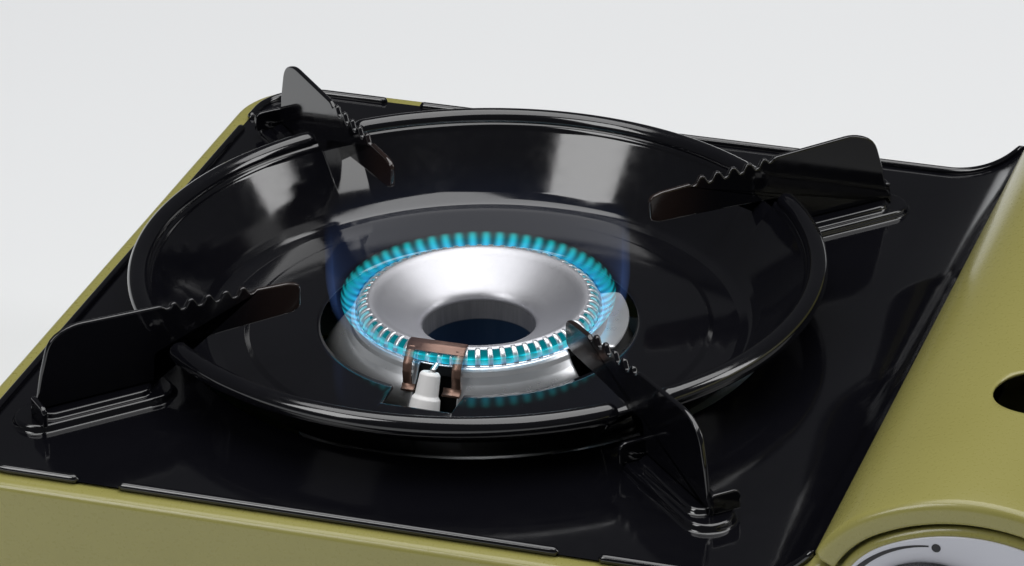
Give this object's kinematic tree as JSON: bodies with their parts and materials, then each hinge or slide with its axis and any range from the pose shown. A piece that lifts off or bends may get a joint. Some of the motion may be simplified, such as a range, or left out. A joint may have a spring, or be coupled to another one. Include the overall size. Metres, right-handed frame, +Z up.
{
  "type": "butane cassette stove",
  "caption": "Portable gas cooker with a deep round drip bowl, toothed pot supports, a slotted burner, a hinged cartridge cover and a turning ignition knob.",
  "frame": {"origin": "on the table under the middle of the stove's outline seen from above", "axes": "+Z up, -Y towards the side with the knob, +X towards the cartridge bay"},
  "size_m": [0.3442, 0.2916, 0.129],
  "materials": {
    "olive_enamel": "semi-gloss olive green enamel",
    "black_enamel": "gloss black enamel",
    "zinc_sheet": "zinc plated sheet",
    "burner_steel": "satin stainless steel",
    "heated_steel": "stainless steel browned by the flame",
    "bright_steel": "bright plated steel",
    "silver_panel": "satin silver lacquer",
    "cast_zinc": "bare die casting",
    "brass": "turned",
    "white_ceramic": "glazed white",
    "black_rubber": "matt",
    "grey_plastic": "heat resisting moulding",
    "knob_black": "satin black moulding",
    "pointer_white": "white inlay"
  },
  "bodies": {
    "stove_body": {"body_shell": "olive_enamel", "top_plate": "black_enamel", "bottom_plate": "zinc_sheet", "bay_wall": "zinc_sheet", "burner_stand": "zinc_sheet", "heat_shield": "zinc_sheet", "cartridge_cradle": "zinc_sheet", "regulator_bracket": "zinc_sheet", "piezo_bracket": "zinc_sheet", "body_hinge_leaves": "zinc_sheet", "cartridge_seat": "zinc_sheet", "burner_cap": "burner_steel", "burner_port_ring": "burner_steel", "burner_skirt": "burner_steel", "burner_lug": "burner_steel", "burner_pot": "burner_steel", "burner_inner_tube": "burner_steel", "mixing_tube": "burner_steel", "spark_bracket": "heated_steel", "body_screws": "bright_steel", "foot_screws": "bright_steel", "burner_bolts": "bright_steel", "hinge_pins": "bright_steel", "igniter_tip": "bright_steel", "seat_magnets": "bright_steel", "dial_plate": "silver_panel", "regulator_body": "cast_zinc", "governor_cap": "cast_zinc", "air_collar": "cast_zinc", "gas_jet": "brass", "jet_holder": "brass", "inlet_stub": "brass", "igniter_ceramic": "white_ceramic", "rubber_feet": "black_rubber", "cover_buffers": "black_rubber", "igniter_holder": "grey_plastic", "piezo_unit": "grey_plastic"},
    "cover": {"cartridge_cover": "olive_enamel", "cover_hinge_leaves": "zinc_sheet"},
    "knob": {"knob_ring": "knob_black", "knob_grip": "knob_black", "knob_pointer": "pointer_white", "knob_shaft": "bright_steel"},
    "needle": {"needle_valve": "bright_steel"},
    "striker": {"piezo_striker": "bright_steel"},
    "grate": {"drip_bowl": "black_enamel", "pot_support_1": "black_enamel", "pot_support_2": "black_enamel", "pot_support_3": "black_enamel", "pot_support_4": "black_enamel"}
  },
  "joints": [
    {"name": "cover_hinge", "type": "hinge", "parent": "stove_body", "child": "cover", "pos_m": [0.1685, 0.00615, 0.0955], "axis": [0, 1, 0], "range_deg": [0, 95]},
    {"name": "knob_turn", "type": "hinge", "parent": "stove_body", "child": "knob", "pos_m": [0.125, -0.13585, 0.0865], "axis": [0, -1, 0], "range_deg": [0, 115]},
    {"name": "needle_travel", "type": "slide", "parent": "stove_body", "child": "needle", "axis": [0, 1, 0], "range_m": [0, 0.002]},
    {"name": "striker_travel", "type": "slide", "parent": "stove_body", "child": "striker", "axis": [0, 0, -1], "range_m": [0, 0.004]},
    {"name": "grate_lift", "type": "slide", "parent": "stove_body", "child": "grate", "axis": [0, 0, 1], "range_m": [0, 0.06]}
  ],
  "couplings": [
    {"joint": "needle_travel", "follows": "knob_turn", "m_per_rad": 0.0009963},
    {"joint": "striker_travel", "follows": "knob_turn", "m_per_rad": 0.0019928}
  ]
}
